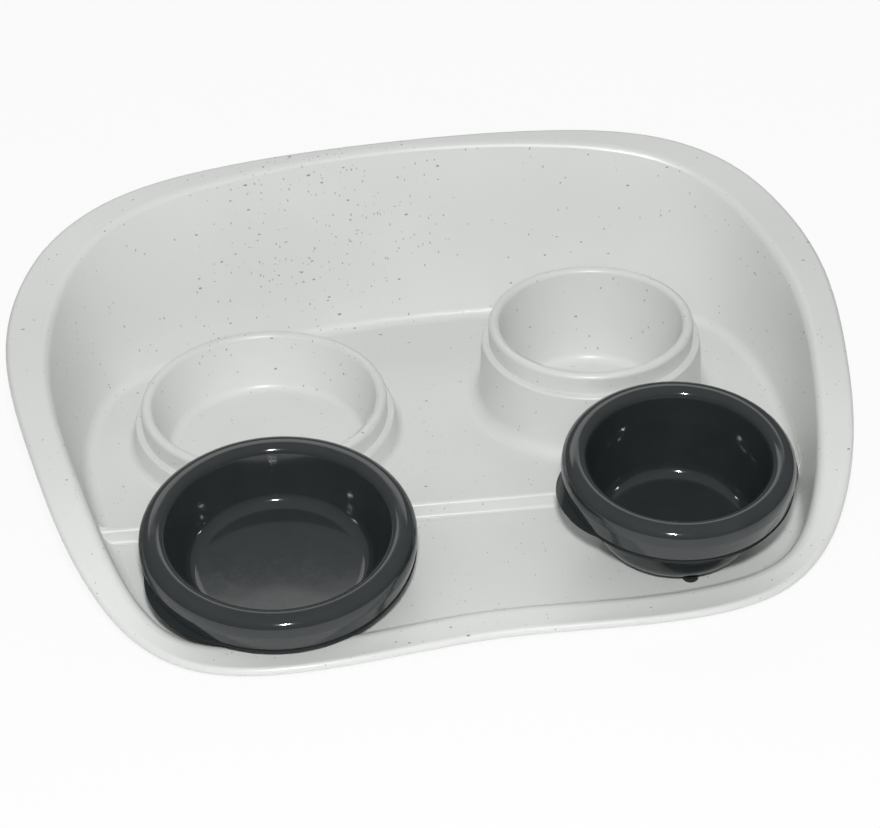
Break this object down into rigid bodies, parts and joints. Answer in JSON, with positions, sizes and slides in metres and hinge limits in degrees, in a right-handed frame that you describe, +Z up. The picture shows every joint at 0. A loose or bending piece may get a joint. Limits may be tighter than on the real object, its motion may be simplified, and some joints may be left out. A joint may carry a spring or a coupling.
{
  "type": "double pet bowl",
  "caption": "Pet feeding tray with a high splash wall, a wide flange rim and raised ring sockets for a large shallow and a small deep lift-out bowl.",
  "frame": {"origin": "middle of the footprint, on the surface that the tray's feet stand on", "axes": "+X along the tray's width to the small bowl's side, +Y to the high back wall, +Z up"},
  "size_m": [0.4344, 0.319, 0.1057],
  "materials": {
    "tray_plastic": "semi-gloss moulded plastic with fine grey flecks",
    "bowl_plastic": "glossy moulded plastic",
    "rubber": "matt"
  },
  "bodies": {
    "tray": {"tray": "tray_plastic", "tray_foot_front_left": "rubber", "tray_foot_front_right": "rubber", "tray_foot_back_left": "rubber", "tray_foot_back_right": "rubber"},
    "large_bowl": {"large_bowl": "bowl_plastic", "large_bowl_pad_front": "rubber", "large_bowl_pad_right": "rubber", "large_bowl_pad_back": "rubber", "large_bowl_pad_left": "rubber"},
    "small_bowl": {"small_bowl": "bowl_plastic", "small_bowl_pad_front": "rubber", "small_bowl_pad_right": "rubber", "small_bowl_pad_back": "rubber", "small_bowl_pad_left": "rubber"}
  },
  "joints": [
    {"name": "large_bowl_lift", "type": "slide", "parent": "tray", "child": "large_bowl", "axis": [0, 0, 1], "range_m": [0, 0.15]},
    {"name": "small_bowl_lift", "type": "slide", "parent": "tray", "child": "small_bowl", "axis": [0, 0, 1], "range_m": [0, 0.15]}
  ]
}
